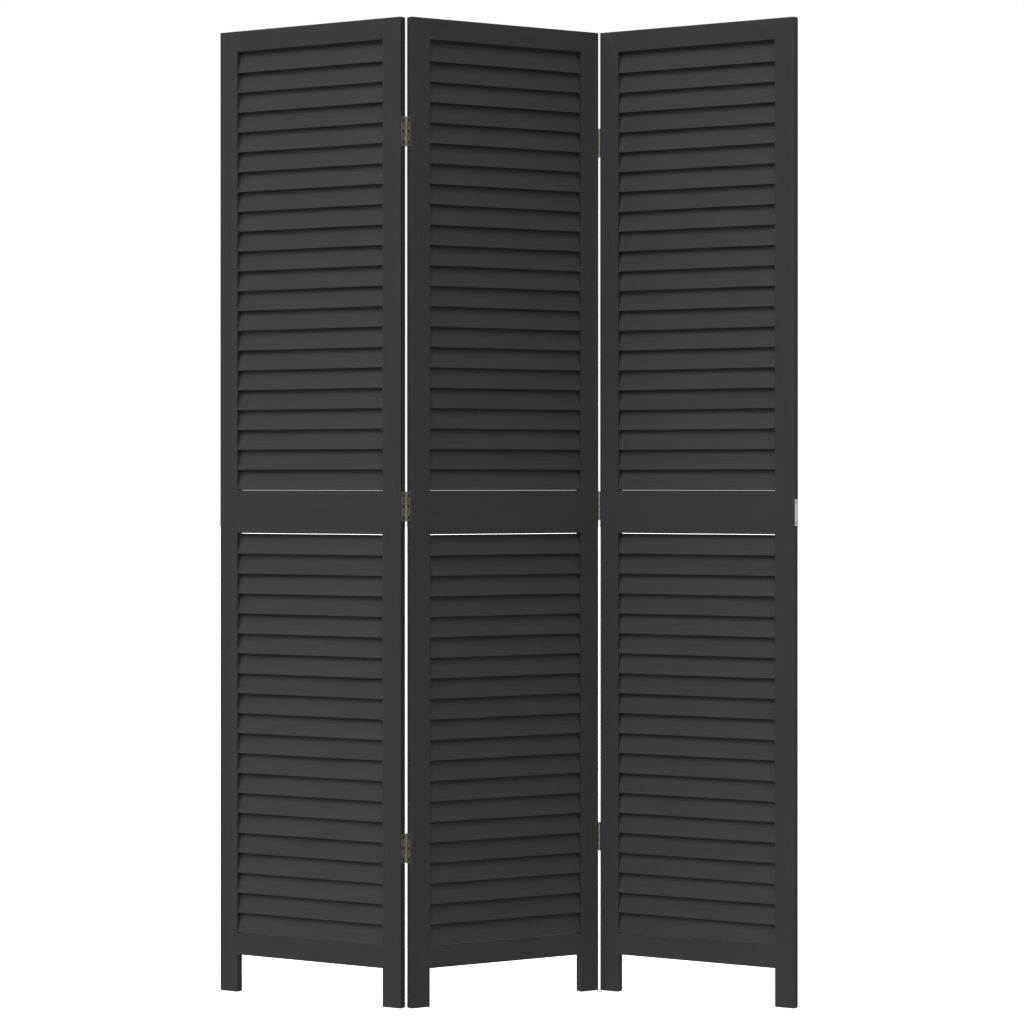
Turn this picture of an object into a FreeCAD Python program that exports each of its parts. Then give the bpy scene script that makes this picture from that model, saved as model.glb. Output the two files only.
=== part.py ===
import FreeCAD
import Part
import Sketcher
import os

# Three-panel louvred folding screen, millimetres. The origin is on the floor under the middle
# of the centre panel, +Z is up, +X runs along the spread of the screen and the front is -Y.
# At rest the panels stand in a zigzag: the left fold points to the front, the right fold to
# the back. Each panel is drawn in its own frame (x along its width, y through its thickness,
# z up from the floor) and then turned and moved to its place.

DIMENSIONS = {
    # panel
    "panel_height": 1800,
    "panel_width": 400,
    "frame_thickness": 16,
    "fold_angle": 120,  # degrees between neighbouring panels at rest
    # frame members
    "stile_width": 39,
    "stile_edge_round": 1,
    "top_rail_height": 38,
    "top_rail_slope": 2.6,  # how much lower the underside lies at the back than at the front
    "middle_rail_height": 80,
    "middle_rail_level": 900,  # its centre above the floor
    "bottom_rail_height": 40,
    "leg_height": 70,
    # louvre slats
    "slat_width": 39,
    "slat_thickness": 5,
    "slat_tilt": 15,  # degrees from upright, lower edge to the front
    "slat_pitch": 37.2,  # nominal: the slats spread evenly, as near to it as the opening allows
    "slat_bottom_gap": 0.3,
    "slat_top_gap": 0.75,
    "slat_edge_round": 0.8,
    "slat_shoulder": 5,  # each edge of the slat is cut back by this much at the tenon
    "tenon_length": 6,
    "tenon_fit": 0.1,
    "tenon_end_gap": 0.5,
    # dowels
    "dowel_diameter": 8,
    "dowel_length": 30,
    "dowel_chamfer": 0.8,
    "dowel_fit": 0.05,
    "dowel_end_gap": 0.5,
    # butt hinges
    "hinge_height": 54,
    "top_hinge_drop": 207,  # panel top to hinge centre
    "middle_hinge_rise": 11,  # middle rail centre to hinge centre
    "bottom_hinge_level": 289.5,  # floor to hinge centre
    "leaf_width": 13.5,
    "leaf_thickness": 1,
    "leaf_let_in": 1,
    "leaf_fit": 0.2,
    "pin_diameter": 1.6,
    "pin_fit": 0.05,
    "pin_stick_out": 0.6,
    "pin_chamfer": 0.4,
    "pin_offset": 1.25,  # pin axis outside the face of the panels
    "knuckle_gap": 0.2,
    "knuckle_clearance": 0.3,
    # countersunk screws
    "screw_diameter": 2.6,
    "screw_head_diameter": 5.5,
    "screw_length": 14,
    "screw_point": 4,
    "screw_tip_diameter": 0.6,
    "screw_fit": 0.05,
    "screw_end_gap": 0.5,
    "screw_spacing": 20,
    "screw_inset": 6.5,  # screw line to the knuckle side of the stile
    "driver_slot_length": 3,
    "driver_slot_width": 0.7,
    "driver_slot_depth": 0.8,
    # blank plate on the right-hand edge
    "plate_height": 48,
    "plate_width": 12,
    "plate_thickness": 1,
    "plate_fit": 0.1,
    "plate_screw_spacing": 38,
}

# Counts that belong to the make of the fittings and are not sizes
KNUCKLE_SLOTS = 5
SCREWS_PER_LEAF = 3
SCREWS_IN_PLATE = 2
# Where the two dowels of a rail end sit, as shares of the rail's height
DOWEL_SHARES = (0.25, 0.75)
# Largest rounds, chamfers and slots, as shares of what they are cut into
SLAT_ROUND_LIMIT = 0.4
STILE_ROUND_LIMIT = 0.25
DOWEL_CHAMFER_LIMIT = 0.125
PIN_CHAMFER_LIMIT = 0.25
DRIVER_SLOT_LIMIT = 0.25
NEAR = 0.01  # distance in mm below which two places are the same

# Sizes that follow from the driving dimensions, as expressions on the sheet
HALF_WIDTH = "(dims.panel_width / 2)"
HALF_OPENING = "(dims.panel_width / 2 - dims.stile_width)"
HALF_THICKNESS = "(dims.frame_thickness / 2)"
BOTTOM_RAIL_TOP = "(dims.leg_height + dims.bottom_rail_height)"
MIDDLE_RAIL_BOTTOM = "(dims.middle_rail_level - dims.middle_rail_height / 2)"
MIDDLE_RAIL_TOP = "(dims.middle_rail_level + dims.middle_rail_height / 2)"
TOP_RAIL_BOTTOM = "(dims.panel_height - dims.top_rail_height)"

SLAT_SINE = "sin(dims.slat_tilt)"
SLAT_COSINE = "cos(dims.slat_tilt)"
SLAT_DEPTH = f"(dims.slat_width * {SLAT_SINE} + dims.slat_thickness * {SLAT_COSINE})"
SLAT_RISE = f"(dims.slat_width * {SLAT_COSINE} + dims.slat_thickness * {SLAT_SINE})"
SLAT_FRONT = f"(-{SLAT_DEPTH} / 2)"
SLAT_CROWN = f"({SLAT_FRONT} + dims.slat_width * {SLAT_SINE})"
# the top rail's underside straight above the top edge of the slats
TOP_RAIL_OVER_SLATS = (
    f"({TOP_RAIL_BOTTOM} - dims.top_rail_slope"
    f" * ({SLAT_CROWN} + {HALF_THICKNESS}) / dims.frame_thickness)"
)

YAW = "(90 - dims.fold_angle / 2)"
KNUCKLE_RADIUS = "(dims.pin_diameter / 2 + dims.pin_fit + dims.leaf_thickness)"
BORE_RADIUS = "(dims.pin_diameter / 2 + dims.pin_fit)"
LEAF_REACH = "(dims.pin_offset + dims.leaf_width)"
AXIS_ALONG = f"({HALF_WIDTH} + {KNUCKLE_RADIUS} - dims.leaf_let_in)"
AXIS_ACROSS = f"({HALF_THICKNESS} + dims.pin_offset)"
FOLD_X = f"({AXIS_ALONG} * cos({YAW}) + {AXIS_ACROSS} * sin({YAW}))"
FOLD_Y = f"({AXIS_ALONG} * sin({YAW}) - {AXIS_ACROSS} * cos({YAW}))"

HINGE_LEVELS = {
    "top": "(dims.panel_height - dims.top_hinge_drop)",
    "middle": "(dims.middle_rail_level + dims.middle_hinge_rise)",
    "bottom": "dims.bottom_hinge_level",
}
SCREW_RADIUS = "(dims.screw_diameter / 2)"
SCREW_HOLE_RADIUS = "(dims.screw_diameter / 2 + dims.screw_fit)"
COUNTERSINK_RADIUS = "(dims.screw_head_diameter / 2 + dims.screw_fit)"
LEAF_SCREW_SPAN = f"(dims.screw_spacing * {SCREWS_PER_LEAF - 1})"

# Each panel's place: distance of its middle from the origin along X, and its turn about Z
PANELS = {
    "left": (f"-2 * {FOLD_X}", f"-{YAW}"),
    "centre": ("0", YAW),
    "right": (f"2 * {FOLD_X}", f"-{YAW}"),
}
# Each section of slats: what it stands on and what it reaches up to
SECTIONS = {
    "lower": (BOTTOM_RAIL_TOP, MIDDLE_RAIL_BOTTOM),
    "upper": (MIDDLE_RAIL_TOP, TOP_RAIL_OVER_SLATS),
}
# Each rail's lower and upper edge, between which its dowels sit at the quarter points
RAILS = {
    "top": (TOP_RAIL_BOTTOM, "dims.panel_height"),
    "middle": (MIDDLE_RAIL_BOTTOM, MIDDLE_RAIL_TOP),
    "bottom": ("dims.leg_height", BOTTOM_RAIL_TOP),
}

UP = FreeCAD.Vector(0, 0, 1)
ALONG_X = FreeCAD.Vector(1, 0, 0)
ALONG_Y = FreeCAD.Vector(0, 1, 0)
TO_RIGHT = FreeCAD.Rotation(ALONG_Y, 90)  # carries a round primitive's axis to +X
TO_LEFT = FreeCAD.Rotation(ALONG_Y, -90)  # and to -X

doc = FreeCAD.newDocument("folding_screen")
dims = doc.addObject("Spreadsheet::Sheet", "dims")
for row, (alias, value) in enumerate(DIMENSIONS.items(), start=1):
    dims.set(f"A{row}", alias)
    dims.set(f"B{row}", str(value))
    dims.setAlias(f"B{row}", alias)
doc.recompute()

subparts = []


def size(expression):
    return float(dims.evalExpression(expression))


def new_body(label, base, yaw):
    """An empty body, turned by yaw about Z and moved to base."""
    body = doc.addObject("PartDesign::Body", label)
    body.Label = label
    body.Placement = FreeCAD.Placement(FreeCAD.Vector(), FreeCAD.Rotation(UP, 1))
    body.setExpression("Placement.Rotation.Angle", f"({yaw}) * 1 deg")
    for letter, expression in zip("xyz", base):
        body.setExpression(f"Placement.Base.{letter}", expression)
    return body


def new_panel_body(panel, label):
    """An empty body in its panel's own frame."""
    along, yaw = PANELS[panel]
    return new_body(label, (along, "0", "0"), yaw)


def origin_feature(body, role):
    return next(item for item in body.Origin.OriginFeatures if item.Role == role)


def add_primitive(body, kind, sizes, base, turn=None):
    """An additive or subtractive primitive whose sizes and place follow the sheet."""
    feature = body.newObject(f"PartDesign::{kind}", kind)
    feature.Refine = False
    if turn is not None:
        feature.Placement = FreeCAD.Placement(FreeCAD.Vector(), turn)
    for name, expression in sizes.items():
        feature.setExpression(name, expression)
    for letter, expression in zip("xyz", base):
        feature.setExpression(f"Placement.Base.{letter}", expression)
    return feature


def add_slat_block(body, kind, sizes, base):
    """A block that leans back by the slat tilt about its lower front edge."""
    block = add_primitive(body, kind, sizes, base, FreeCAD.Rotation(ALONG_X, -1))
    block.setExpression("Placement.Rotation.Angle", "-dims.slat_tilt * 1 deg")
    return block


def add_profile(body, plane, offset, points):
    """A sketch of one closed outline, each corner held by two dimensions from the origin."""
    sketch = body.newObject("Sketcher::SketchObject", "Profile")
    sketch.AttachmentSupport = [(origin_feature(body, plane), "")]
    sketch.MapMode = "FlatFace"
    sketch.setExpression("AttachmentOffset.Base.z", offset)
    corners = [FreeCAD.Vector(size(across), size(up), 0) for across, up in points]
    for index, corner in enumerate(corners):
        after = corners[(index + 1) % len(corners)]
        sketch.addGeometry(Part.LineSegment(corner, after))
    for index, (across, up) in enumerate(points):
        after = (index + 1) % len(points)
        sketch.addConstraint(Sketcher.Constraint("Coincident", index, 2, after, 1))
        for direction, expression in (("DistanceX", across), ("DistanceY", up)):
            held = sketch.addConstraint(
                Sketcher.Constraint(direction, -1, 1, index, 1, size(expression))
            )
            sketch.setExpression(f"Constraints[{held}]", expression)
    return sketch


def add_pad(body, sketch, length):
    pad = body.newObject("PartDesign::Pad", "Pad")
    pad.Profile = sketch
    pad.Refine = False
    pad.setExpression("Length", length)
    doc.recompute()
    return pad


def add_edge_feature(body, kind, base, size_name, expression, chosen):
    """A fillet or chamfer on the edges of base that chosen picks."""
    edges = enumerate(base.Shape.Edges, start=1)
    names = [f"Edge{number}" for number, edge in edges if chosen(edge)]
    feature = body.newObject(f"PartDesign::{kind}", kind)
    feature.Base = (base, names)
    feature.Refine = False
    feature.setExpression(size_name, expression)
    body.Tip = feature
    return feature


def add_row(body, original, length, count):
    """Repeats the last feature, or the whole body if original is None, upwards over length."""
    row = body.newObject("PartDesign::LinearPattern", "Row")
    set_originals(row, original)
    row.Direction = (origin_feature(body, "Z_Axis"), [""])
    row.setExpression("Length", length)
    row.setExpression("Occurrences", count)
    body.Tip = row


def add_mirror(body, original):
    """Repeats the last feature, or the whole body, on the other side of the panel's middle."""
    mirror = body.newObject("PartDesign::Mirrored", "Mirror")
    set_originals(mirror, original)
    mirror.MirrorPlane = (origin_feature(body, "YZ_Plane"), [""])
    body.Tip = mirror


def set_originals(pattern, original):
    pattern.Refine = False
    if original is None:
        pattern.TransformMode = "Whole shape"
    else:
        pattern.Originals = [original]


def dowel_heights(rail):
    bottom, top = RAILS[rail]
    return [f"({bottom} * {1 - share} + {top} * {share})" for share in DOWEL_SHARES]


def slat_run(section):
    """Height over which a section's slats repeat, and how many there are."""
    bottom, top = SECTIONS[section]
    run = f"({top} - dims.slat_top_gap - {bottom} - dims.slat_bottom_gap - {SLAT_RISE})"
    return run, f"(round({run} / dims.slat_pitch) + 1)"


def slat_corner(section, up_slat, into_slat):
    """A point of the lowest slat, measured from its lower front edge along its own sides."""
    bottom, _ = SECTIONS[section]
    edge_height = f"({bottom} + dims.slat_bottom_gap + dims.slat_thickness * {SLAT_SINE})"
    return (
        f"({SLAT_FRONT} + ({up_slat}) * {SLAT_SINE} + ({into_slat}) * {SLAT_COSINE})",
        f"({edge_height} + ({up_slat}) * {SLAT_COSINE} - ({into_slat}) * {SLAT_SINE})",
    )


def make_slats(panel, section):
    body = new_panel_body(panel, f"{panel}_{section}_slats")
    blade_size = {
        "Length": f"2 * {HALF_OPENING}",
        "Width": "dims.slat_thickness",
        "Height": "dims.slat_width",
    }
    across, up = slat_corner(section, "0", "0")
    blade = add_slat_block(body, "AdditiveBox", blade_size, (f"-{HALF_OPENING}", across, up))
    doc.recompute()
    add_edge_feature(
        body,
        "Fillet",
        blade,
        "Radius",
        f"min(dims.slat_edge_round, dims.slat_thickness * {SLAT_ROUND_LIMIT})",
        lambda edge: edge.BoundBox.XLength > size(HALF_OPENING),
    )
    tenon_size = {
        "Length": f"2 * ({HALF_OPENING} + dims.tenon_length)",
        "Width": "dims.slat_thickness",
        "Height": "dims.slat_width - 2 * dims.slat_shoulder",
    }
    across, up = slat_corner(section, "dims.slat_shoulder", "0")
    left_end = f"-({HALF_OPENING} + dims.tenon_length)"
    add_slat_block(body, "AdditiveBox", tenon_size, (left_end, across, up))
    doc.recompute()
    add_row(body, None, *slat_run(section))
    subparts.append(body)


def cut_mortises(body, section, start):
    """Slanted housings for the slat tenons, in the inner side of a stile."""
    mortise_size = {
        "Length": "dims.tenon_length + dims.tenon_end_gap",
        "Width": "dims.slat_thickness + 2 * dims.tenon_fit",
        "Height": "dims.slat_width - 2 * dims.slat_shoulder + 2 * dims.tenon_fit",
    }
    up_slat = "dims.slat_shoulder - dims.tenon_fit"
    across, up = slat_corner(section, up_slat, "-dims.tenon_fit")
    block = add_slat_block(body, "SubtractiveBox", mortise_size, (start, across, up))
    add_row(body, block, *slat_run(section))


def cut_dowel_holes(body, start, turn):
    hole_size = {
        "Radius": "dims.dowel_diameter / 2 + dims.dowel_fit",
        "Height": "dims.dowel_length / 2 + dims.dowel_end_gap",
    }
    for rail in RAILS:
        for height in dowel_heights(rail):
            add_primitive(body, "SubtractiveCylinder", hole_size, (start, "0", height), turn)


def cut_hinge_seats(body, outward, knuckle_face):
    """Shallow recesses for the hinge leaves, open to the knuckle side, with pilot holes.

    outward is the sign of the stile's outer edge along x, knuckle_face that of the face the
    knuckles stand on along y.
    """
    seat_size = {
        "Length": "dims.leaf_let_in",
        "Width": "dims.leaf_width + dims.leaf_fit + dims.stile_edge_round",
        "Height": "dims.hinge_height + 2 * dims.leaf_fit",
    }
    hole_size = {
        "Radius": SCREW_HOLE_RADIUS,
        "Height": (
            "dims.leaf_let_in + dims.screw_length - dims.leaf_thickness + dims.screw_end_gap"
        ),
    }
    into_stile = TO_LEFT if outward > 0 else TO_RIGHT
    edge = f"{outward} * {HALF_WIDTH}"
    seat_left = f"{HALF_WIDTH} - dims.leaf_let_in" if outward > 0 else f"-{HALF_WIDTH}"
    seat_near = f"{HALF_THICKNESS} - dims.leaf_width - dims.leaf_fit"
    if knuckle_face < 0:
        seat_near = f"-{HALF_THICKNESS} - dims.stile_edge_round"
    screw_line = f"{knuckle_face} * ({HALF_THICKNESS} - dims.screw_inset)"
    for level in HINGE_LEVELS.values():
        seat_base = f"{level} - dims.hinge_height / 2 - dims.leaf_fit"
        add_primitive(body, "SubtractiveBox", seat_size, (seat_left, seat_near, seat_base))
        hole_base = (edge, screw_line, f"{level} - {LEAF_SCREW_SPAN} / 2")
        hole = add_primitive(body, "SubtractiveCylinder", hole_size, hole_base, into_stile)
        add_row(body, hole, LEAF_SCREW_SPAN, f"{SCREWS_PER_LEAF}")


def cut_plate_seat(body):
    """Recess of the blank plate in the right-hand edge, with its pilot holes."""
    seat_size = {
        "Length": "dims.plate_thickness",
        "Width": "dims.plate_width + 2 * dims.plate_fit",
        "Height": "dims.plate_height + 2 * dims.plate_fit",
    }
    seat_base = (
        f"{HALF_WIDTH} - dims.plate_thickness",
        "-dims.plate_width / 2 - dims.plate_fit",
        "dims.middle_rail_level - dims.plate_height / 2 - dims.plate_fit",
    )
    add_primitive(body, "SubtractiveBox", seat_size, seat_base)
    hole_size = {
        "Radius": SCREW_HOLE_RADIUS,
        "Height": "dims.screw_length + dims.screw_end_gap",
    }
    lowest = "dims.middle_rail_level - dims.plate_screw_spacing / 2"
    hole = add_primitive(
        body, "SubtractiveCylinder", hole_size, (HALF_WIDTH, "0", lowest), TO_LEFT
    )
    add_row(body, hole, "dims.plate_screw_spacing", f"{SCREWS_IN_PLATE}")


def make_stile(panel, outward, knuckle_face=None, has_plate=False):
    """An upright of a panel's frame; outward is -1 for the left one and 1 for the right one."""
    side = "right" if outward > 0 else "left"
    body = new_panel_body(panel, f"{panel}_{side}_stile")
    outer = f"{outward} * {HALF_WIDTH}"
    inner = f"{outward} * {HALF_OPENING}"
    front = f"-{HALF_THICKNESS}"
    back = HALF_THICKNESS
    outline = [(outer, front), (inner, front), (inner, back), (outer, back)]
    pad = add_pad(body, add_profile(body, "XY_Plane", "0", outline), "dims.panel_height")
    outer_place = size(outer)
    add_edge_feature(
        body,
        "Fillet",
        pad,
        "Radius",
        f"min(dims.stile_edge_round, dims.frame_thickness * {STILE_ROUND_LIMIT})",
        lambda edge: edge.BoundBox.ZLength > NEAR
        and abs(edge.CenterOfMass.x - outer_place) < NEAR,
    )
    if knuckle_face is not None:
        cut_hinge_seats(body, outward, knuckle_face)
    if has_plate:
        cut_plate_seat(body)
    cut_dowel_holes(body, inner, TO_RIGHT if outward > 0 else TO_LEFT)
    mortise_left = inner
    if outward < 0:
        mortise_left = f"{inner} - dims.tenon_length - dims.tenon_end_gap"
    for section in SECTIONS:
        cut_mortises(body, section, mortise_left)
    subparts.append(body)


def make_rail(panel, rail):
    """A cross member, bored for two dowels at each end."""
    body = new_panel_body(panel, f"{panel}_{rail}_rail")
    bottom, top = RAILS[rail]
    back_bottom = f"({bottom} - dims.top_rail_slope)" if rail == "top" else bottom
    outline = [
        (f"-{HALF_THICKNESS}", bottom),
        (HALF_THICKNESS, back_bottom),
        (HALF_THICKNESS, top),
        (f"-{HALF_THICKNESS}", top),
    ]
    sketch = add_profile(body, "YZ_Plane", f"-{HALF_OPENING}", outline)
    add_pad(body, sketch, f"2 * {HALF_OPENING}")
    hole_size = {
        "Radius": "dims.dowel_diameter / 2 + dims.dowel_fit",
        "Height": "dims.dowel_length / 2 + dims.dowel_end_gap",
    }
    for height in dowel_heights(rail):
        mouth = (f"-{HALF_OPENING}", "0", height)
        hole = add_primitive(body, "SubtractiveCylinder", hole_size, mouth, TO_RIGHT)
        add_mirror(body, hole)
    subparts.append(body)


def make_dowels(panel):
    body = new_panel_body(panel, f"{panel}_dowels")
    dowel_size = {"Radius": "dims.dowel_diameter / 2", "Height": "dims.dowel_length"}
    left_end = f"-{HALF_OPENING} - dims.dowel_length / 2"
    for rail in RAILS:
        for height in dowel_heights(rail):
            base = (left_end, "0", height)
            last = add_primitive(body, "AdditiveCylinder", dowel_size, base, TO_RIGHT)
    doc.recompute()
    add_edge_feature(
        body,
        "Chamfer",
        last,
        "Size",
        f"min(dims.dowel_chamfer, dims.dowel_diameter * {DOWEL_CHAMFER_LIMIT})",
        lambda edge: isinstance(edge.Curve, Part.Circle),
    )
    doc.recompute()
    add_mirror(body, None)
    subparts.append(body)


def make_leaf(label, base, yaw, side, first_slot):
    """A hinge leaf, its pin axis on Z through its own origin and the wood on its side of x.

    The leaf lies on the stile edge, below the axis in y, and its knuckles take every second
    slot from first_slot.
    """
    body = new_body(label, base, yaw)
    plate_left = f"{KNUCKLE_RADIUS} - dims.leaf_thickness" if side > 0 else f"-{KNUCKLE_RADIUS}"
    plate_edge = f"({KNUCKLE_RADIUS} + dims.knuckle_clearance)"
    plate_size = {
        "Length": "dims.leaf_thickness",
        "Width": f"{LEAF_REACH} - {plate_edge}",
        "Height": "dims.hinge_height",
    }
    hinge_base = "-dims.hinge_height / 2"
    add_primitive(body, "AdditiveBox", plate_size, (plate_left, f"-{LEAF_REACH}", hinge_base))
    slot = f"(dims.hinge_height / {KNUCKLE_SLOTS})"
    knuckle_base = f"{hinge_base} + {first_slot} * {slot} + dims.knuckle_gap / 2"
    knuckle_height = f"{slot} - dims.knuckle_gap"
    tab_size = {"Length": "dims.leaf_thickness", "Width": plate_edge, "Height": knuckle_height}
    tab_base = (plate_left, f"-{plate_edge}", knuckle_base)
    barrel_size = {"Radius": KNUCKLE_RADIUS, "Height": knuckle_height}
    knuckles = len(range(first_slot, KNUCKLE_SLOTS, 2))
    knuckle_run = f"2 * {slot} * {knuckles - 1}"
    tab = add_primitive(body, "AdditiveBox", tab_size, tab_base)
    add_row(body, tab, knuckle_run, f"{knuckles}")
    barrel = add_primitive(body, "AdditiveCylinder", barrel_size, ("0", "0", knuckle_base))
    add_row(body, barrel, knuckle_run, f"{knuckles}")
    bore_size = {"Radius": BORE_RADIUS, "Height": "dims.hinge_height"}
    add_primitive(body, "SubtractiveCylinder", bore_size, ("0", "0", hinge_base))
    cut_countersinks(
        body,
        (
            f"{side} * ({KNUCKLE_RADIUS} - dims.leaf_thickness)",
            "-dims.pin_offset - dims.screw_inset",
            f"-{LEAF_SCREW_SPAN} / 2",
        ),
        TO_RIGHT if side > 0 else TO_LEFT,
        "dims.leaf_thickness",
        LEAF_SCREW_SPAN,
        SCREWS_PER_LEAF,
    )
    subparts.append(body)


def cut_countersinks(body, lowest, turn, thickness, span, count):
    """Conical screw holes right through a plate, wide at the outer face."""
    sink_size = {
        "Radius1": COUNTERSINK_RADIUS,
        "Radius2": SCREW_HOLE_RADIUS,
        "Height": thickness,
    }
    sink = add_primitive(body, "SubtractiveCone", sink_size, lowest, turn)
    add_row(body, sink, span, f"{count}")


def make_pin(label, base, yaw):
    body = new_body(label, base, yaw)
    pin_size = {
        "Radius": "dims.pin_diameter / 2",
        "Height": "dims.hinge_height + 2 * dims.pin_stick_out",
    }
    foot = ("0", "0", "-dims.hinge_height / 2 - dims.pin_stick_out")
    shaft = add_primitive(body, "AdditiveCylinder", pin_size, foot)
    doc.recompute()
    add_edge_feature(
        body,
        "Chamfer",
        shaft,
        "Size",
        f"min(dims.pin_chamfer, dims.pin_diameter * {PIN_CHAMFER_LIMIT})",
        lambda edge: isinstance(edge.Curve, Part.Circle),
    )
    subparts.append(body)


def make_hinge(fold, level_name, outward):
    """Two leaves and a pin; outward is the sign of the fold along x."""
    place = (f"{outward} * {FOLD_X}", f"{outward} * {FOLD_Y}", HINGE_LEVELS[level_name])
    half_turn = "180" if outward > 0 else "0"
    side_yaw = f"{half_turn} - {YAW}"
    centre_yaw = f"{half_turn} + {YAW}"
    name = f"{fold}_{level_name}_hinge"
    make_leaf(f"{name}_centre_leaf", place, centre_yaw, 1, 0)
    make_leaf(f"{name}_side_leaf", place, side_yaw, -1, 1)
    make_pin(f"{name}_pin", place, centre_yaw)


def make_screws(panel, label, outward, head, seat, across, lowest_ones, span, count):
    """Countersunk screws driven into a stile's outer edge.

    head is the plane of the heads along x, seat the thickness of the plate that they hold.
    """
    into_stile = TO_LEFT if outward > 0 else TO_RIGHT
    head_size = {
        "Radius1": "dims.screw_head_diameter / 2",
        "Radius2": SCREW_RADIUS,
        "Height": seat,
    }
    shank_size = {
        "Radius": SCREW_RADIUS,
        "Height": f"dims.screw_length - dims.screw_point - {seat}",
    }
    point_size = {
        "Radius1": SCREW_RADIUS,
        "Radius2": "dims.screw_tip_diameter / 2",
        "Height": "dims.screw_point",
    }
    deepest = f"dims.screw_head_diameter * {DRIVER_SLOT_LIMIT}"
    slot_depth = f"min(dims.driver_slot_depth, {deepest})"
    slot_left = f"{head} - {slot_depth}" if outward > 0 else head
    shank_start = f"{head} - {outward} * {seat}"
    point_start = f"{head} - {outward} * (dims.screw_length - dims.screw_point)"
    steps = (
        ("AdditiveCone", head_size, head),
        ("AdditiveCylinder", shank_size, shank_start),
        ("AdditiveCone", point_size, point_start),
    )
    rows = []
    for lowest in lowest_ones:
        body = new_panel_body(panel, f"{label}_row")
        for kind, sizes, start in steps:
            add_primitive(body, kind, sizes, (start, across, lowest), into_stile)
        for wide, tall in (("length", "width"), ("width", "length")):
            slot_size = {
                "Length": slot_depth,
                "Width": f"dims.driver_slot_{wide}",
                "Height": f"dims.driver_slot_{tall}",
            }
            slot_base = (
                slot_left,
                f"{across} - dims.driver_slot_{wide} / 2",
                f"{lowest} - dims.driver_slot_{tall} / 2",
            )
            add_primitive(body, "SubtractiveBox", slot_size, slot_base)
        doc.recompute()
        add_row(body, None, span, f"{count}")
        rows.append(body)
    group = doc.addObject("Part::Compound", label)
    group.Label = label
    group.Links = rows
    subparts.append(group)


def make_hinge_screws(panel, label, outward, knuckle_face):
    make_screws(
        panel,
        label,
        outward,
        f"({outward} * ({HALF_WIDTH} + dims.leaf_thickness - dims.leaf_let_in))",
        "dims.leaf_thickness",
        f"({knuckle_face} * ({HALF_THICKNESS} - dims.screw_inset))",
        [f"({level} - {LEAF_SCREW_SPAN} / 2)" for level in HINGE_LEVELS.values()],
        LEAF_SCREW_SPAN,
        SCREWS_PER_LEAF,
    )


def make_edge_plate():
    """Blank plate let flush into the right panel's outer edge, level with the middle rail."""
    body = new_panel_body("right", "edge_plate")
    plate_size = {
        "Length": "dims.plate_thickness",
        "Width": "dims.plate_width",
        "Height": "dims.plate_height",
    }
    plate_base = (
        f"{HALF_WIDTH} - dims.plate_thickness",
        "-dims.plate_width / 2",
        "dims.middle_rail_level - dims.plate_height / 2",
    )
    add_primitive(body, "AdditiveBox", plate_size, plate_base)
    lowest = "(dims.middle_rail_level - dims.plate_screw_spacing / 2)"
    cut_countersinks(
        body,
        (HALF_WIDTH, "0", lowest),
        TO_LEFT,
        "dims.plate_thickness",
        "dims.plate_screw_spacing",
        SCREWS_IN_PLATE,
    )
    subparts.append(body)
    make_screws(
        "right",
        "edge_plate_screws",
        1,
        HALF_WIDTH,
        "dims.plate_thickness",
        "0",
        [lowest],
        "dims.plate_screw_spacing",
        SCREWS_IN_PLATE,
    )


# Panels: the left fold has its knuckles at the back, the right fold at the front
make_stile("left", -1)
make_stile("left", 1, knuckle_face=1)
make_stile("centre", -1, knuckle_face=1)
make_stile("centre", 1, knuckle_face=-1)
make_stile("right", -1, knuckle_face=-1)
make_stile("right", 1, has_plate=True)
for panel_name in PANELS:
    for rail_name in RAILS:
        make_rail(panel_name, rail_name)
    make_dowels(panel_name)
    for section_name in SECTIONS:
        make_slats(panel_name, section_name)

# Hinges, their screws, and the plate on the right-hand edge
for fold_name, fold_side in (("left", -1), ("right", 1)):
    for hinge_level in HINGE_LEVELS:
        make_hinge(fold_name, hinge_level, fold_side)
make_hinge_screws("left", "left_panel_hinge_screws", 1, 1)
make_hinge_screws("centre", "centre_panel_left_hinge_screws", -1, 1)
make_hinge_screws("centre", "centre_panel_right_hinge_screws", 1, -1)
make_hinge_screws("right", "right_panel_hinge_screws", -1, -1)
make_edge_plate()
doc.recompute()

# Every object has to be sound before anything is written
for item in doc.Objects:
    if "Invalid" in item.State or "Error" in item.State:
        raise RuntimeError(f"{item.Label} failed: {item.State} {item.getStatusString()}")
for subpart in subparts:
    if subpart.Shape.isNull() or not subpart.Shape.isValid() or not subpart.Shape.Solids:
        raise RuntimeError(f"{subpart.Label} has no sound solid")

os.makedirs("parts", exist_ok=True)
for subpart in subparts:
    subpart.Shape.exportStep(f"parts/{subpart.Label}.step")
    print(subpart.Label, len(subpart.Shape.Solids), round(subpart.Shape.Volume, 1))
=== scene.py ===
# Finishes, studio and camera for a three-panel louvred folding screen
import math

import bmesh
import bpy
from mathutils import Euler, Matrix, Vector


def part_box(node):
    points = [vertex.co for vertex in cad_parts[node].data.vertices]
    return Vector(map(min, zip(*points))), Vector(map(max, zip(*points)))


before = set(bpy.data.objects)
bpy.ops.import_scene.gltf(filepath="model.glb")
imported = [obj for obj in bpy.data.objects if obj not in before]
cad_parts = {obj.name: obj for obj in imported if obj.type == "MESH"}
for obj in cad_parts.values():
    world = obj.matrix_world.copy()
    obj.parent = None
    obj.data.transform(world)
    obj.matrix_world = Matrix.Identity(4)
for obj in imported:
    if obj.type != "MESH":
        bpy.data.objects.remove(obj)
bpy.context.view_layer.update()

MM = 0.001

# Angle by which each panel is turned about the vertical when the screen stands open
PANEL_TURN = {
    "left": math.radians(-30),
    "centre": math.radians(30),
    "right": math.radians(-30),
}
STILES = ("left", "right")
RAILS = ("top", "middle", "bottom")

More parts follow.
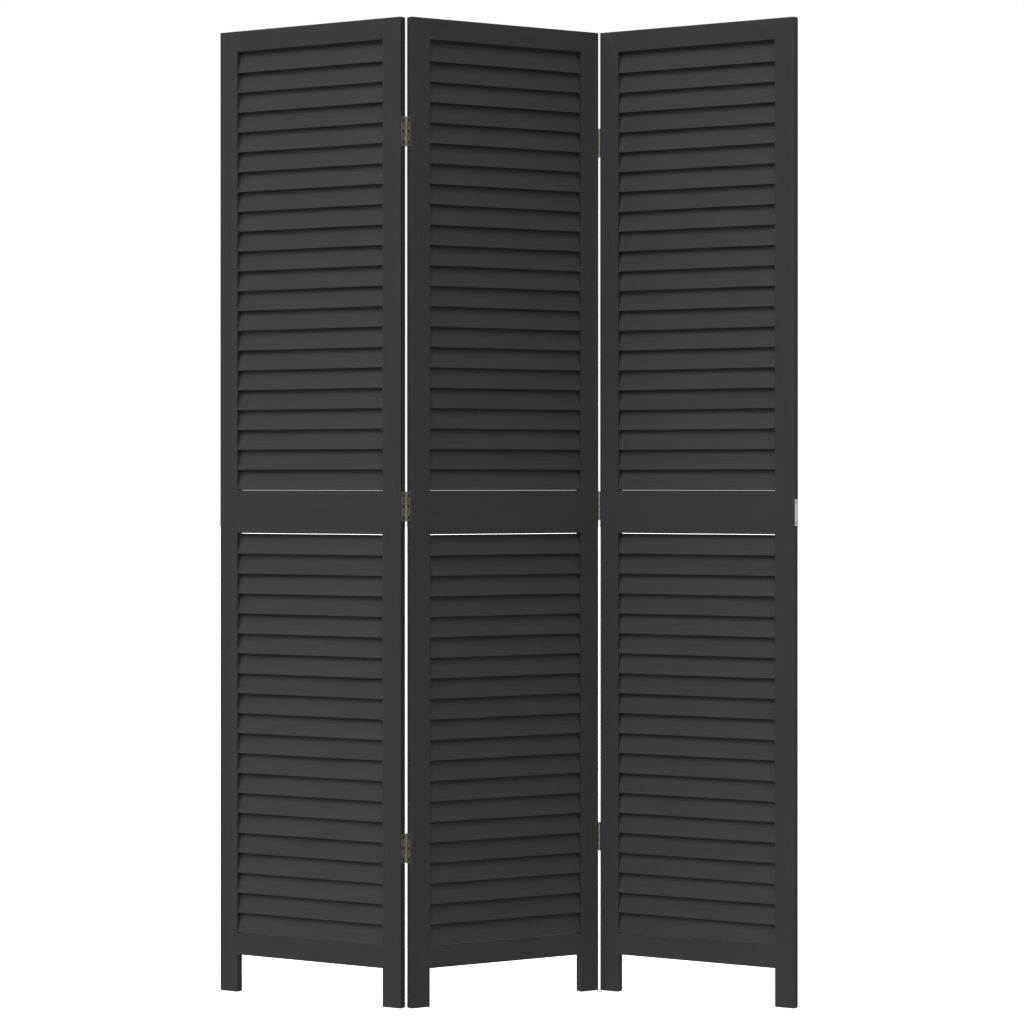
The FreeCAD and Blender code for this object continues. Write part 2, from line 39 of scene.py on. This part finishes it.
# Louvre slats: lean from upright, size, and how many stand in each bank
SLAT_LEAN = math.radians(15)
SLAT_WIDTH = 39 * MM
SLAT_THICKNESS = 5 * MM
SLAT_COUNT = {"lower": 20, "upper": 22}
SLAT_RISE = SLAT_WIDTH * math.cos(SLAT_LEAN) + SLAT_THICKNESS * math.sin(SLAT_LEAN)

# Studio light: a dim sky, dimmer behind the screen, and softboxes far off around it
SKY_LIGHT = 0.459
SKY_LIGHT_BEHIND = 0.24
SKY_SEEN = 1.0  # the camera itself sees a white background
BEHIND = (0.4, 0.92, 0.0)  # behind the screen and a little to the right
# Softboxes: name, bearing from straight ahead, height angle, spread in degrees, strength.
# The floor bounce stands for the light that a white floor throws back up.
SOFTBOXES = (
    ("left_softbox", -75, 30, 40, 0.096),
    ("high_left_softbox", -25, 50, 40, 0.378),
    ("front_softbox", 0, 20, 50, 0.04),
    ("right_softbox", 30, 30, 50, 0.053),
    ("floor_bounce", -60, -20, 60, 0.064),
    ("back_softbox", -172, 60, 50, 1.1),
)
FLOOR_REACH = 60  # metres from the screen to the floor's edge
FLOOR_GLOW = 0.88

# Camera: level, on the screen's front side, framed like the 1024 x 1024 photograph
CAMERA_PLACE = (0.0, -5.543, 0.9531)
LEVEL = math.radians(90)  # tilt of a camera that looks level
LENS_MM = 105.35
SENSOR_MM = 36
SHIFT_X = 0.0075
SHIFT_Y = -0.028

# Sockets of a Mix node that is set to colours
MIX_FACTOR, MIX_A, MIX_B, MIX_RESULT = 0, 6, 7, 2


def linear(hex_colour):
    """An sRGB hex colour as linear red, green, blue and alpha."""
    channels = [int(hex_colour[at : at + 2], 16) / 255 for at in (1, 3, 5)]
    return tuple(
        c / 12.92 if c <= 0.04045 else ((c + 0.055) / 1.055) ** 2.4 for c in channels
    ) + (1.0,)


def add_node(tree, kind, inputs=None, **settings):
    """Adds a node with its settings; an input is given a plain value or the socket that feeds it."""
    node = tree.nodes.new(f"ShaderNode{kind}")
    for name, value in settings.items():
        setattr(node, name, value)
    for name, value in (inputs or {}).items():
        if isinstance(value, bpy.types.NodeSocket):
            tree.links.new(value, node.inputs[name])
        else:
            node.inputs[name].default_value = value
    return node


def new_material(name, shader_inputs):
    """An empty material and its main shader, joined to the output."""
    material = bpy.data.materials.new(name)
    material.use_nodes = True
    tree = material.node_tree
    tree.nodes.clear()
    shader = add_node(tree, "BsdfPrincipled", shader_inputs)
    add_node(tree, "OutputMaterial", {"Surface": shader.outputs["BSDF"]})
    return material, tree, shader


def panel_place(tree, panel):
    """Object coordinates in the panel's own directions: along its width, through it, and up."""
    low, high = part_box(f"{panel}_middle_rail")
    turn = -PANEL_TURN[panel]
    middle = (low + high) / 2
    middle.rotate(Euler((0, 0, turn)))
    place = add_node(tree, "TexCoord").outputs["Object"]
    moved = add_node(
        tree, "Mapping", {"Vector": place, "Location": -middle, "Rotation": (0, 0, turn)}
    )
    return moved.outputs["Vector"]


# Agreement of a face's direction with that of a rounded edge: where wear, and on the paint a painted
# edge highlight, begins and is full
EDGE_WEAR_AND_HIGHLIGHT_BEGINS = 0.99
EDGE_WEAR_AND_HIGHLIGHT_FULL = 0.8
EDGE_SAMPLES = 4


def edge_mask(tree, radius):
    """0 on flat faces, rising to 1 along edges, where handling rubs the surface; on the paint it
    also places a painted highlight.
    """
    rounded = add_node(tree, "Bevel", {"Radius": radius}, samples=EDGE_SAMPLES)
    facing = add_node(tree, "NewGeometry").outputs["Normal"]
    agreement = add_node(
        tree,
        "VectorMath",
        {0: rounded.outputs["Normal"], 1: facing},
        operation="DOT_PRODUCT",
    )
    mask = add_node(
        tree,
        "MapRange",
        {
            "Value": agreement.outputs["Value"],
            "From Min": EDGE_WEAR_AND_HIGHLIGHT_BEGINS,
            "From Max": EDGE_WEAR_AND_HIGHLIGHT_FULL,
        },
    )
    return mask.outputs["Result"]


def slat_draw(tree, place, panel, bank):
    """A random value and a random colour for each slat, so that their grain differs."""
    low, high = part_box(f"{panel}_{bank}_slats")
    rail_low, rail_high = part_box(f"{panel}_middle_rail")
    pitch = (high.z - low.z - SLAT_RISE) / (SLAT_COUNT[bank] - 1)
    first = low.z + SLAT_RISE / 2 - (rail_low.z + rail_high.z) / 2
    along_slats = add_node(
        tree,
        "VectorMath",
        {0: place, 1: (0, -1 / math.tan(SLAT_LEAN) / pitch, 1 / pitch)},
        operation="DOT_PRODUCT",
    )
    steps = add_node(
        tree, "Math", {0: along_slats.outputs["Value"], 1: -first / pitch}, operation="ADD"
    )
    number = add_node(tree, "Math", {0: steps.outputs["Value"]}, operation="ROUND")
    return add_node(tree, "TexWhiteNoise", {"W": number.outputs["Value"]}, noise_dimensions="1D")


# Sprayed paint with a low sheen on paulownia. The wood is light and open-pored, so under the
# thin coat its pores still show as faint sunken streaks along the grain. Slats take the paint
# a little differently. All edges are rubbed slightly smoother, and are painted paler: partly
# wear, partly a painted highlight where an edge would catch the light.
PAINT_LIGHT = linear("#383B3D")
PAINT_DARK = linear("#333537")
PAINT_PORE = linear("#2B2E31")
# Paler edge colour: rubbed paint, and a painted highlight along the edge
PAINT_RUBBED_AND_HIGHLIGHT = linear("#3D4040")
PAINT_SHEEN = {"IOR": 1.5, "Specular IOR Level": 0.2}
PAINT_SMOOTHEST = 0.5
PAINT_ROUGHEST = 0.58
PAINT_RUBBING = -0.12  # what rubbing adds to the roughness
PAINT_EDGE = 1.5 * MM  # how far from an edge it is rubbed and painted paler as a highlight
CLOUD_SIZE = 80 * MM
CLOUD_SMOOTHEST = 0.3  # noise values where the paint is smoothest and roughest
CLOUD_ROUGHEST = 0.7
SLAT_TONE = 0.5  # how far apart the tones of two slats can lie
SLAT_SHIFT = (60, 60, 60)  # how far apart the grain of two slats can lie, in pores
PORE_WIDTH = 2.5 * MM  # real pores are about 0.4 mm: drawn coarser, so that they show
PORE_LENGTH = 110 * MM
PORE_BEGINS = 0.55  # noise values where a pore begins and is full
PORE_FULL = 0.75
PORE_TINT = 0.6  # share of the pore's colour in a full pore
PORE_HEIGHT = -1.5  # sunken, measured in heights of the orange peel
PEEL_SIZE = 2.5 * MM  # the spray's orange peel is about 1 mm: drawn coarser, so that it shows
PEEL_HEIGHT = 0.15 * MM
PEEL_STRENGTH = 0.25


def painted_wood(panel, cut):
    """cut is the way the grain runs: upright, cross, or along the slats of one bank."""
    material, tree, shader = new_material(f"painted_paulownia_{panel}_{cut}", PAINT_SHEEN)
    place = panel_place(tree, panel)
    stretch = [1 / PORE_LENGTH, 1 / PORE_WIDTH, 1 / PORE_WIDTH]
    if cut == "upright":
        stretch.reverse()
    grain_place = add_node(
        tree, "VectorMath", {0: place, 1: stretch}, operation="MULTIPLY"
    ).outputs["Vector"]
    clouds = add_node(
        tree, "TexNoise", {"Vector": place, "Scale": 1 / CLOUD_SIZE, "Detail": 2}
    ).outputs["Fac"]
    tone = clouds
    if cut in SLAT_COUNT:
        draw = slat_draw(tree, place, panel, cut)
        grain_place = add_node(
            tree,
            "VectorMath",
            {0: draw.outputs["Color"], 1: SLAT_SHIFT, 2: grain_place},
            operation="MULTIPLY_ADD",
        ).outputs["Vector"]
        tone = add_node(
            tree,
            "Math",
            {0: draw.outputs["Value"], 1: SLAT_TONE, 2: tone},
            operation="MULTIPLY_ADD",
        ).outputs["Value"]
    grain = add_node(
        tree, "TexNoise", {"Vector": grain_place, "Scale": 1, "Detail": 3, "Roughness": 0.6}
    ).outputs["Fac"]
    pores = add_node(
        tree,
        "MapRange",
        {"Value": grain, "From Min": PORE_BEGINS, "From Max": PORE_FULL, "To Max": PORE_TINT},
    ).outputs["Result"]
    peel = add_node(
        tree, "TexNoise", {"Vector": place, "Scale": 1 / PEEL_SIZE, "Detail": 1}
    ).outputs["Fac"]
    # Edges: rubbed smoother, and painted paler, partly wear and partly a painted edge highlight
    rubbed = add_node(
        tree, "Math", {0: edge_mask(tree, PAINT_EDGE), 1: clouds}, operation="MULTIPLY"
    ).outputs["Value"]

    coat = add_node(
        tree,
        "Mix",
        {MIX_FACTOR: tone, MIX_A: PAINT_DARK, MIX_B: PAINT_LIGHT},
        data_type="RGBA",
    ).outputs[MIX_RESULT]
    for factor, colour in ((pores, PAINT_PORE), (rubbed, PAINT_RUBBED_AND_HIGHLIGHT)):
        coat = add_node(
            tree, "Mix", {MIX_FACTOR: factor, MIX_A: coat, MIX_B: colour}, data_type="RGBA"
        ).outputs[MIX_RESULT]
    tree.links.new(coat, shader.inputs["Base Color"])

    roughness = add_node(
        tree,
        "MapRange",
        {
            "Value": clouds,
            "From Min": CLOUD_SMOOTHEST,
            "From Max": CLOUD_ROUGHEST,
            "To Min": PAINT_SMOOTHEST,
            "To Max": PAINT_ROUGHEST,
        },
    ).outputs["Result"]
    roughness = add_node(
        tree, "Math", {0: rubbed, 1: PAINT_RUBBING, 2: roughness}, operation="MULTIPLY_ADD"
    ).outputs["Value"]
    tree.links.new(roughness, shader.inputs["Roughness"])

    relief = add_node(
        tree, "Math", {0: pores, 1: PORE_HEIGHT, 2: peel}, operation="MULTIPLY_ADD"
    ).outputs["Value"]
    bump = add_node(
        tree, "Bump", {"Height": relief, "Strength": PEEL_STRENGTH, "Distance": PEEL_HEIGHT}
    )
    tree.links.new(bump.outputs["Normal"], shader.inputs["Normal"])
    return material


# What the finishes of all metal fittings have in common: upright lines, patches, worn edges
LINE_STRETCH = 25  # how many times as long as wide the lines are
LINE_ROUGHNESS = 0.1  # what the lines add to the roughness
LINE_HEIGHT = 0.05 * MM
LINE_STRENGTH = 0.3
PATCH_BEGINS = 0.42  # noise values where a dull patch begins and is full
PATCH_FULL = 0.68
FITTING_EDGE = 0.4 * MM


def fitting_finish(name, kind, clean, dull, rubbed, smoothest, roughest, line_width, patch_size):
    """The finish of a metal fitting, with fine upright lines, duller patches and worn edges.

    kind is what makes it bare metal or a coat; clean, dull and rubbed are its colours, and its
    roughness runs from smoothest, where it is clean, to roughest, where it is dull.
    """
    material, tree, shader = new_material(name, kind)
    place = add_node(tree, "TexCoord").outputs["Object"]
    lines_place = add_node(
        tree,
        "VectorMath",
        {0: place, 1: (1 / line_width, 1 / line_width, 1 / line_width / LINE_STRETCH)},
        operation="MULTIPLY",
    ).outputs["Vector"]
    lines = add_node(
        tree, "TexNoise", {"Vector": lines_place, "Scale": 1, "Detail": 2}
    ).outputs["Fac"]
    patches = add_node(
        tree,
        "TexNoise",
        {"Vector": place, "Scale": 1 / patch_size, "Detail": 4, "Roughness": 0.6},
    ).outputs["Fac"]
    dulled = add_node(
        tree, "MapRange", {"Value": patches, "From Min": PATCH_BEGINS, "From Max": PATCH_FULL}
    ).outputs["Result"]

    colour = clean
    for factor, tint in ((dulled, dull), (edge_mask(tree, FITTING_EDGE), rubbed)):
        colour = add_node(
            tree, "Mix", {MIX_FACTOR: factor, MIX_A: colour, MIX_B: tint}, data_type="RGBA"
        ).outputs[MIX_RESULT]
    tree.links.new(colour, shader.inputs["Base Color"])

    roughness = add_node(
        tree, "MapRange", {"Value": dulled, "To Min": smoothest, "To Max": roughest}
    ).outputs["Result"]
    roughness = add_node(
        tree, "Math", {0: lines, 1: LINE_ROUGHNESS, 2: roughness}, operation="MULTIPLY_ADD"
    ).outputs["Value"]
    tree.links.new(roughness, shader.inputs["Roughness"])

    bump = add_node(
        tree, "Bump", {"Height": lines, "Strength": LINE_STRENGTH, "Distance": LINE_HEIGHT}
    )
    tree.links.new(bump.outputs["Normal"], shader.inputs["Normal"])
    return material


# Aged brass plating on the hinges' steel: a dull greyish gold, with fine lines from rolling,
# browner where it has tarnished and brighter along the edges. Lines drawn coarser to show.
brass = fitting_finish(
    "plated_brass",
    {"Metallic": 1.0},
    clean=linear("#B5B2A4"),
    dull=linear("#9A947F"),
    rubbed=linear("#BFBCB2"),
    smoothest=0.34,
    roughest=0.46,
    line_width=0.7 * MM,
    patch_size=7 * MM,
)

# Blackened steel screws: dark brown-black heads, a little shine where the driver has rubbed
steel = fitting_finish(
    "blackened_steel",
    {"Metallic": 1.0},
    clean=linear("#3A3732"),
    dull=linear("#2B2723"),
    rubbed=linear("#555148"),
    smoothest=0.4,
    roughest=0.55,
    line_width=0.5 * MM,
    patch_size=2 * MM,
)

# Aluminium plate with a pale satin powder coat: near-white and a little grainy, with a soft
# shine, greyer in patches and worn along the edges
powder_coat = fitting_finish(
    "powder_coated_aluminium",
    {"IOR": 1.5},
    clean=linear("#FAFAF8"),
    dull=linear("#EEEFEE"),
    rubbed=linear("#E2E3E2"),
    smoothest=0.32,
    roughest=0.42,
    line_width=0.9 * MM,
    patch_size=6 * MM,
)

# Zinc-plated screws: cool pale grey, dulled in patches
zinc = fitting_finish(
    "zinc_plate",
    {"Metallic": 1.0},
    clean=linear("#C9CCCE"),
    dull=linear("#A4A8AB"),
    rubbed=linear("#DDDFE0"),
    smoothest=0.32,
    roughest=0.5,
    line_width=0.5 * MM,
    patch_size=2 * MM,
)

# Bare beech dowels: pinkish tan, close grain with the short dark flecks of its rays
BEECH_LIGHT = linear("#CFAF84")
BEECH_FLECK = linear("#A9805A")
BEECH_SHEEN = {"IOR": 1.5, "Roughness": 0.6}
FLECK_WIDTH = 0.6 * MM
FLECK_LENGTH = 5 * MM
FLECK_BEGINS = 0.45  # noise values where a fleck begins and is full
FLECK_FULL = 0.7
FLECK_HEIGHT = 0.1 * MM
FLECK_STRENGTH = 0.2


def beech(panel):
    """The dowels' wood, with its grain across the panel."""
    material, tree, shader = new_material(f"bare_beech_{panel}", BEECH_SHEEN)
    grain_place = add_node(
        tree,
        "VectorMath",
        {0: panel_place(tree, panel), 1: (1 / FLECK_LENGTH, 1 / FLECK_WIDTH, 1 / FLECK_WIDTH)},
        operation="MULTIPLY",
    ).outputs["Vector"]
    grain = add_node(
        tree, "TexNoise", {"Vector": grain_place, "Scale": 1, "Detail": 3}
    ).outputs["Fac"]
    flecks = add_node(
        tree, "MapRange", {"Value": grain, "From Min": FLECK_BEGINS, "From Max": FLECK_FULL}
    ).outputs["Result"]
    wood = add_node(
        tree,
        "Mix",
        {MIX_FACTOR: flecks, MIX_A: BEECH_LIGHT, MIX_B: BEECH_FLECK},
        data_type="RGBA",
    )
    tree.links.new(wood.outputs[MIX_RESULT], shader.inputs["Base Color"])
    bump = add_node(
        tree, "Bump", {"Height": flecks, "Strength": FLECK_STRENGTH, "Distance": FLECK_HEIGHT}
    )
    tree.links.new(bump.outputs["Normal"], shader.inputs["Normal"])
    return material


def dress(node, material):
    """Gives a CAD node its finish."""
    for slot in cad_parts[node].material_slots:
        slot.material = material


for panel in PANEL_TURN:
    upright = painted_wood(panel, "upright")
    for side in STILES:
        dress(f"{panel}_{side}_stile", upright)
    cross = painted_wood(panel, "cross")
    for rail in RAILS:
        dress(f"{panel}_{rail}_rail", cross)
    for bank in SLAT_COUNT:
        dress(f"{panel}_{bank}_slats", painted_wood(panel, bank))
    dress(f"{panel}_dowels", beech(panel))
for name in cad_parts:
    if name.endswith("screws"):
        dress(name, steel)
    elif "hinge" in name:
        dress(name, brass)
dress("edge_plate", powder_coat)
dress("edge_plate_screws", zinc)


def add_floor():
    """A matt white painted floor that goes on to the horizon and casts nothing on the screen."""
    paint, _, _ = new_material(
        "matt_white_floor_paint",
        {
            "Base Color": linear("#F4F4F4"),
            "Roughness": 0.9,
            "Emission Color": linear("#FFFFFF"),
            "Emission Strength": FLOOR_GLOW,
        },
    )
    mesh = bpy.data.meshes.new("floor")
    shape = bmesh.new()
    bmesh.ops.create_grid(shape, x_segments=1, y_segments=1, size=FLOOR_REACH)
    shape.to_mesh(mesh)
    shape.free()
    mesh.materials.append(paint)
    floor = bpy.data.objects.new("floor", mesh)
    bpy.context.scene.collection.objects.link(floor)
    floor.visible_diffuse = False
    floor.visible_glossy = False
    floor.visible_shadow = False


def add_sky():
    """A white background whose light on the screen fades from the front to behind it."""
    world = bpy.data.worlds.new("studio")
    bpy.context.scene.world = world
    world.use_nodes = True
    tree = world.node_tree
    tree.nodes.clear()
    direction = add_node(tree, "TexCoord").outputs["Generated"]
    backwards = add_node(
        tree, "VectorMath", {0: direction, 1: BEHIND}, operation="DOT_PRODUCT"
    ).outputs["Value"]
    glow = add_node(
        tree,
        "MapRange",
        {"Value": backwards, "To Min": SKY_LIGHT, "To Max": SKY_LIGHT_BEHIND},
    ).outputs["Result"]
    seen = add_node(tree, "LightPath").outputs["Is Camera Ray"]
    brightness = add_node(
        tree, "MapRange", {"Value": seen, "To Min": glow, "To Max": SKY_SEEN}
    ).outputs["Result"]
    sky = add_node(tree, "Background", {"Color": linear("#FFFFFF"), "Strength": brightness})
    add_node(tree, "OutputWorld", {"Surface": sky.outputs["Background"]})


def add_softbox(name, bearing, height_angle, spread, strength):
    """A very large, far softbox: even light from one side, with soft shadows."""
    light = bpy.data.lights.new(name, "SUN")
    light.angle = math.radians(spread)
    light.energy = strength * math.pi
    lamp = bpy.data.objects.new(name, light)
    lamp.rotation_euler = (math.radians(90 - height_angle), 0, math.radians(bearing))
    bpy.context.scene.collection.objects.link(lamp)


def add_camera():
    """The camera at the photograph's place."""
    lens = bpy.data.cameras.new("camera")
    lens.lens = LENS_MM
    lens.sensor_width = SENSOR_MM
    lens.shift_x = SHIFT_X
    lens.shift_y = SHIFT_Y
    camera = bpy.data.objects.new("camera", lens)
    camera.location = CAMERA_PLACE
    camera.rotation_euler = (LEVEL, 0, 0)
    bpy.context.scene.collection.objects.link(camera)
    bpy.context.scene.camera = camera


add_floor()
add_sky()
for softbox in SOFTBOXES:
    add_softbox(*softbox)
add_camera()
bpy.context.scene.view_settings.view_transform = "Standard"
